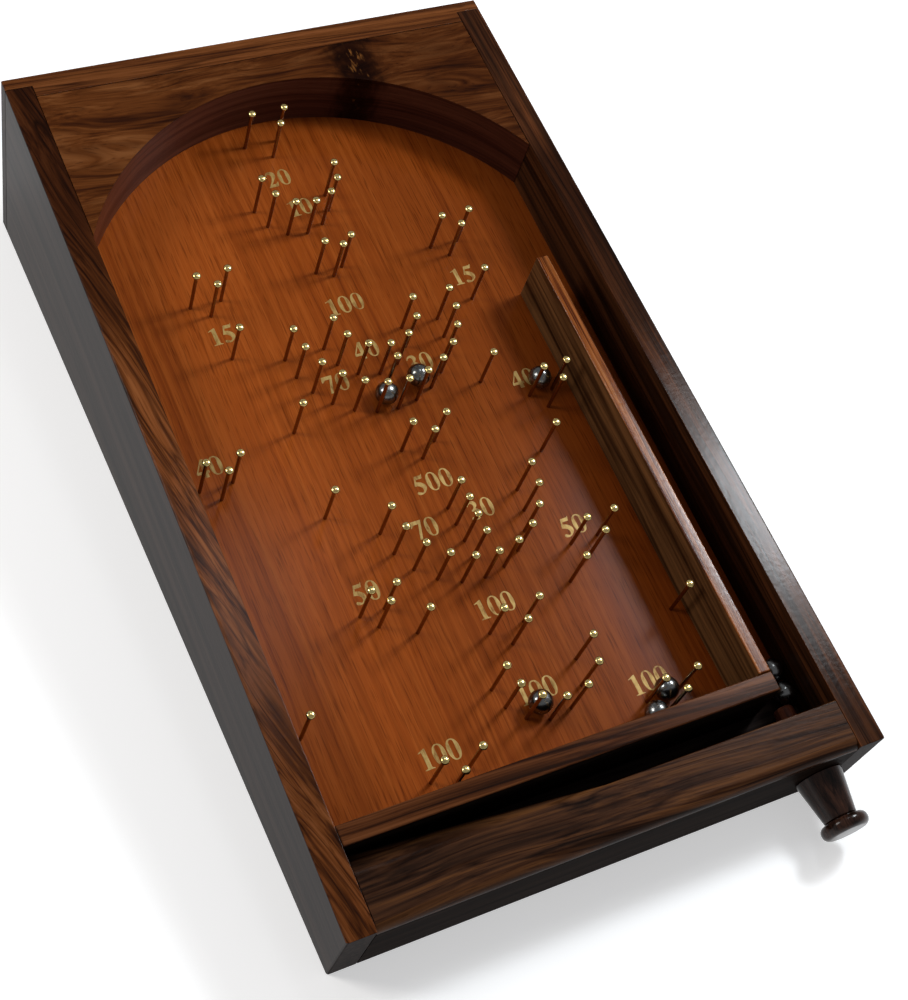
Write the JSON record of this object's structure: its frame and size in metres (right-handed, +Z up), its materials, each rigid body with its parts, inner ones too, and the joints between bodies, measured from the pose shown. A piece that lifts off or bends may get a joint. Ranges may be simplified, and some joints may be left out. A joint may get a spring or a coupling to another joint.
{
  "type": "bagatelle board",
  "caption": "Sloping wooden bagatelle board: a wedge-shaped tray with an arched, pinned playfield, a shooter lane with a spring plunger, a ball trough and loose steel balls.",
  "frame": {"origin": "centre of the object's box, knob included, on the table", "axes": "+X to the player's right, +Y up the board away from the player, +Z up"},
  "size_m": [0.254, 0.456, 0.0968],
  "materials": {
    "rosewood_side": "satin lacquer on dark striped rosewood",
    "rosewood_back": "satin lacquer on orange-brown rosewood",
    "rosewood_front": "satin lacquer on rosewood",
    "figured_rosewood": "satin lacquer on wavy figured rosewood",
    "striped_rosewood": "satin lacquer on striped rosewood",
    "playfield_veneer": "gloss lacquer on reddish veneer",
    "turned_rosewood": "gloss lacquer, turned",
    "striker_wood": "oiled hardwood",
    "dowel_wood": "bare hardwood dowel",
    "spring_steel": "drawn spring wire",
    "ball_steel": "polished steel",
    "pin_brass": "polished brass",
    "score_paint": "dull gold paint"
  },
  "bodies": {
    "board": {"left_rail": "rosewood_side", "right_rail": "rosewood_side", "back_rail": "rosewood_back", "front_rail": "rosewood_front", "playfield": "playfield_veneer", "arch_block": "figured_rosewood", "lane_divider": "striped_rosewood", "bottom_divider": "rosewood_front", "plunger_barrel": "turned_rosewood", "plunger_spring": "spring_steel"},
    "plunger": {"plunger_knob": "turned_rosewood", "plunger_rod": "dowel_wood", "plunger_striker": "striker_wood"},
    "ball_1": {"ball_1": "ball_steel"},
    "ball_2": {"ball_2": "ball_steel"},
    "ball_3": {"ball_3": "ball_steel"},
    "ball_4": {"ball_4": "ball_steel"},
    "ball_5": {"ball_5": "ball_steel"},
    "ball_6": {"ball_6": "ball_steel"},
    "ball_7": {"ball_7": "ball_steel"},
    "ball_8": {"ball_8": "ball_steel"}
  },
  "joints": [
    {"name": "plunger_pull", "type": "slide", "parent": "board", "child": "plunger", "axis": [0, -0.9925, -0.1219], "range_m": [0, 0.013], "stiffness_N_per_m": 180, "springref_m": -0.015, "deforming": ["plunger_spring"]},
    {"name": "ball_1_lift", "type": "slide", "parent": "board", "child": "ball_1", "axis": [0, -0.1219, 0.9925], "range_m": [0, 0.045]},
    {"name": "ball_2_lift", "type": "slide", "parent": "board", "child": "ball_2", "axis": [0, -0.1219, 0.9925], "range_m": [0, 0.045]},
    {"name": "ball_3_lift", "type": "slide", "parent": "board", "child": "ball_3", "axis": [0, -0.1219, 0.9925], "range_m": [0, 0.045]},
    {"name": "ball_4_lift", "type": "slide", "parent": "board", "child": "ball_4", "axis": [0, -0.1219, 0.9925], "range_m": [0, 0.045]},
    {"name": "ball_5_lift", "type": "slide", "parent": "board", "child": "ball_5", "axis": [0, -0.1219, 0.9925], "range_m": [0, 0.045]},
    {"name": "ball_6_lift", "type": "slide", "parent": "board", "child": "ball_6", "axis": [0, -0.1219, 0.9925], "range_m": [0, 0.045]},
    {"name": "lane_ball_run", "type": "slide", "parent": "board", "child": "ball_7", "axis": [0, 0.9925, 0.1219], "range_m": [0, 0.2]},
    {"name": "lane_ball_ahead", "type": "slide", "parent": "board", "child": "ball_8", "axis": [0, 0.9925, 0.1219], "range_m": [0, 0.2]}
  ],
  "couplings": [
    {"joint": "lane_ball_ahead", "follows": "lane_ball_run", "ratio": 1}
  ]
}
